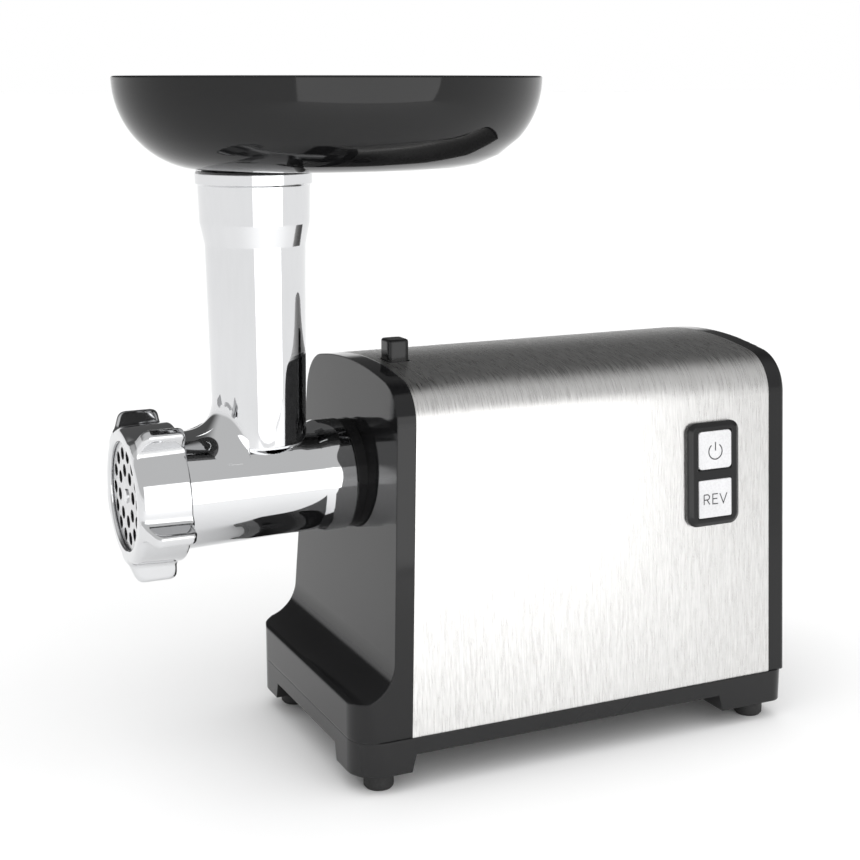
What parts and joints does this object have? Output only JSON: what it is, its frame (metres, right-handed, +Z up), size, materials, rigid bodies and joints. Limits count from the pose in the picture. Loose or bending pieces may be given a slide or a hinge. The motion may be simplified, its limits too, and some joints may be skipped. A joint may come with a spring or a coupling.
{
  "type": "electric meat grinder",
  "caption": "Countertop electric meat grinder: steel-wrapped black housing, polished feed tube and barrel with a winged ring nut, and a black oval hopper tray.",
  "frame": {"origin": "on the table, under the middle of the machine's bounding box", "axes": "+Z up, -Y towards the barrel's mouth, +X towards the side with the buttons"},
  "size_m": [0.172, 0.342, 0.342],
  "materials": {
    "acetal": "white acetal",
    "black_gloss": "glossy black moulded plastic",
    "black_satin": "satin black moulded plastic",
    "board_green": "solder-masked circuit board",
    "bronze": "sintered bronze",
    "brushed_steel": "vertically brushed stainless steel",
    "button_white": "smooth white plastic keys",
    "carbon": "pressed carbon",
    "chrome": "polished cast aluminium with a mirror finish",
    "copper": "enamelled copper wire",
    "gear_steel": "machined steel",
    "grey_nylon": "glass-filled grey nylon",
    "laminations": "stacked electrical steel",
    "nylon_gear": "natural nylon",
    "plate_steel": "ground stainless steel",
    "rubber": "matt black rubber",
    "tray_black": "high-gloss black moulded plastic",
    "zinc_steel": "zinc-plated steel"
  },
  "bodies": {
    "housing": {"base_plate": "black_satin", "rubber_feet": "rubber", "base_screws": "zinc_steel", "front_housing": "black_gloss", "socket_collar": "black_satin", "collar_screws": "zinc_steel", "steel_wrap": "brushed_steel", "rear_housing": "black_gloss", "tie_screws": "zinc_steel", "cord_gland": "rubber", "switch_bezel": "black_gloss", "power_spring": "gear_steel", "rev_spring": "gear_steel", "tact_switches": "black_satin", "control_board": "board_green", "board_frame": "grey_nylon", "lock_spring": "gear_steel", "gear_case": "grey_nylon", "gear_cover": "grey_nylon", "case_screws": "zinc_steel", "output_bushes": "bronze", "idler_pin": "gear_steel", "motor_front_bracket": "zinc_steel", "motor_rear_bracket": "zinc_steel", "motor_bearings": "gear_steel", "motor_bolts": "zinc_steel", "stator_core": "laminations", "field_coils": "copper", "brush_holders": "bronze", "carbon_brushes": "carbon"},
    "output_drive": {"output_shaft": "gear_steel", "output_gear": "nylon_gear"},
    "idler": {"idler_gear": "nylon_gear", "idler_pinion": "gear_steel"},
    "rotor": {"motor_shaft": "gear_steel", "motor_pinion": "gear_steel", "rotor_core": "laminations", "armature_windings": "copper", "commutator": "copper", "cooling_fan": "acetal"},
    "power_key": {"power_button": "button_white"},
    "rev_key": {"rev_button": "button_white"},
    "lock": {"lock_button": "black_gloss", "lock_slide": "zinc_steel"},
    "head": {"head_casting": "chrome", "head_bush": "acetal"},
    "feed_screw": {"auger": "chrome", "auger_drive": "acetal", "knife": "plate_steel"},
    "plate": {"cutting_plate": "plate_steel"},
    "nut": {"ring_nut": "chrome"},
    "tray": {"hopper_tray": "tray_black"}
  },
  "joints": [
    {"name": "motor_spin", "type": "hinge", "parent": "housing", "child": "rotor", "pos_m": [0, 0.05, 0.0635], "axis": [0, -1, 0], "continuous": true},
    {"name": "idler_spin", "type": "hinge", "parent": "housing", "child": "idler", "pos_m": [0, -0.02, 0.0955], "axis": [0, -1, 0], "continuous": true},
    {"name": "output_spin", "type": "hinge", "parent": "housing", "child": "output_drive", "pos_m": [0, -0.03, 0.145], "axis": [0, -1, 0], "continuous": true},
    {"name": "auger_spin", "type": "hinge", "parent": "housing", "child": "feed_screw", "pos_m": [0, -0.1, 0.145], "axis": [0, -1, 0], "continuous": true},
    {"name": "head_turn", "type": "hinge", "parent": "housing", "child": "head", "pos_m": [0, -0.06, 0.145], "axis": [0, 1, 0], "range_deg": [0, 45]},
    {"name": "plate_travel", "type": "slide", "parent": "head", "child": "plate", "axis": [0, -1, 0], "range_m": [0, 0.0121]},
    {"name": "nut_turn", "type": "hinge", "parent": "plate", "child": "nut", "pos_m": [0, -0.16, 0.145], "axis": [0, -1, 0], "range_deg": [0, 1080]},
    {"name": "tray_lift", "type": "slide", "parent": "head", "child": "tray", "axis": [0, 0, 1], "range_m": [0, 0.06]},
    {"name": "power_press", "type": "slide", "parent": "housing", "child": "power_key", "axis": [-0.9971, 0, -0.0764], "range_m": [0, 0.002], "stiffness_N_per_m": 400, "springref_m": -0.001, "deforming": ["power_spring"]},
    {"name": "reverse_press", "type": "slide", "parent": "housing", "child": "rev_key", "axis": [-0.9971, 0, -0.0764], "range_m": [0, 0.002], "stiffness_N_per_m": 400, "springref_m": -0.001, "deforming": ["rev_spring"]},
    {"name": "lock_press", "type": "slide", "parent": "housing", "child": "lock", "axis": [0, 0, -1], "range_m": [0, 0.003], "stiffness_N_per_m": 500, "springref_m": -0.002, "deforming": ["lock_spring"]}
  ],
  "couplings": [
    {"joint": "idler_spin", "follows": "motor_spin", "ratio": -0.14286},
    {"joint": "output_spin", "follows": "motor_spin", "ratio": 0.028571},
    {"joint": "auger_spin", "follows": "motor_spin", "ratio": 0.028571},
    {"joint": "plate_travel", "follows": "nut_turn", "m_per_rad": 0.00063662}
  ]
}
